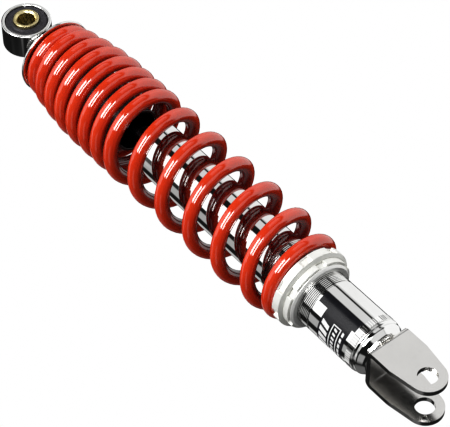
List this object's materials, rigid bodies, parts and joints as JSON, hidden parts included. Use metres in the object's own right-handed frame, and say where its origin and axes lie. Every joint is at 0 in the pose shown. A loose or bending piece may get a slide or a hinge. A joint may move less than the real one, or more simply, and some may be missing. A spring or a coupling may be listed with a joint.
{
  "type": "rear shock absorber",
  "caption": "Coil-over rear shock absorber with a rubber-bushed upper eye, red progressive spring, chromed telescopic damper, threaded preload rings and a lower clevis.",
  "frame": {"origin": "centre of the bore in the upper eye's sleeve", "axes": "+Z along the damper axis from the clevis to the upper eye; Y along the eye's bore and the clevis holes; X across the bores. The clevis bore centre is at z = -0.330."},
  "size_m": [0.0558, 0.0558, 0.354],
  "materials": {
    "zinc_sleeve": "satin yellow passivated zinc",
    "bush_rubber": "matt",
    "chrome": "bright chrome plate",
    "steel": "satin",
    "plated_nut": "bright zinc plate",
    "cover_plastic": "semi-matt black",
    "bump_rubber": "matt",
    "rod_nitrided": "black nitrided, ground",
    "nylon": "natural",
    "piston_metal": "sintered iron",
    "spring_red": "gloss orange-red powder coat",
    "seal_rubber": "matt",
    "bronze": "plain bearing bronze",
    "label": "gloss film",
    "ring_alloy": "pale silver, satin"
  },
  "bodies": {
    "upper": {"eye_ring": "chrome", "rubber_bushing": "bush_rubber", "eye_boss": "chrome", "eye_weld": "steel", "lock_nut": "plated_nut", "spring_cap": "chrome", "dust_cover": "cover_plastic", "bump_stop": "bump_rubber", "bump_washer": "steel", "piston_rod": "rod_nitrided", "rebound_bumper": "nylon", "rebound_shim": "steel", "piston": "piston_metal", "compression_shim": "steel", "piston_nut": "steel"},
    "eye_sleeve": {"eye_sleeve": "zinc_sleeve"},
    "piston_ring": {"piston_ring": "nylon"},
    "damper": {"coil_spring": "spring_red", "outer_tube": "chrome", "damper_cylinder": "steel", "seal_retainer": "steel", "dust_wiper": "seal_rubber", "rod_seal": "seal_rubber", "rod_guide": "piston_metal", "guide_bush": "bronze", "base_valve_shim": "steel", "base_valve": "piston_metal", "base_valve_rivet": "steel", "label_wrap": "label", "crimp_collar": "chrome", "base_cup": "chrome", "base_weld": "steel", "clevis_bracket": "chrome"},
    "spring_seat": {"seat_washer": "steel"},
    "adjuster": {"adjuster_ring": "ring_alloy"},
    "lock_washer": {"lock_washer": "chrome"},
    "lock_ring": {"lock_ring": "ring_alloy"}
  },
  "joints": [
    {"name": "bush_twist", "type": "hinge", "parent": "upper", "child": "eye_sleeve", "pos_m": [0, 0, 0], "axis": [0, 1, 0], "range_deg": [-10, 10], "stiffness_Nm_per_rad": 0.3},
    {"name": "swivel", "type": "hinge", "parent": "upper", "child": "piston_ring", "pos_m": [0, 0, -0.159], "axis": [0, 0, 1], "continuous": true},
    {"name": "travel", "type": "slide", "parent": "piston_ring", "child": "damper", "axis": [0, 0, 1], "range_m": [0, 0.06], "stiffness_N_per_m": 29000, "springref_m": -0.012, "deforming": ["coil_spring"]},
    {"name": "preload", "type": "slide", "parent": "damper", "child": "spring_seat", "axis": [0, 0, 1], "range_m": [0, 0.01], "deforming": ["coil_spring"]},
    {"name": "adjuster_turn", "type": "hinge", "parent": "spring_seat", "child": "adjuster", "pos_m": [0, 0, -0.2435], "axis": [0, 0, 1], "range_deg": [0, 3600]},
    {"name": "lock_travel", "type": "slide", "parent": "damper", "child": "lock_washer", "axis": [0, 0, 1], "range_m": [-0.006, 0]},
    {"name": "lock_turn", "type": "hinge", "parent": "lock_washer", "child": "lock_ring", "pos_m": [0, 0, -0.248], "axis": [0, 0, 1], "range_deg": [-2160, 0]}
  ],
  "couplings": [
    {"joint": "preload", "follows": "adjuster_turn", "m_per_rad": 0.00015915},
    {"joint": "lock_travel", "follows": "lock_turn", "m_per_rad": 0.00015915}
  ]
}
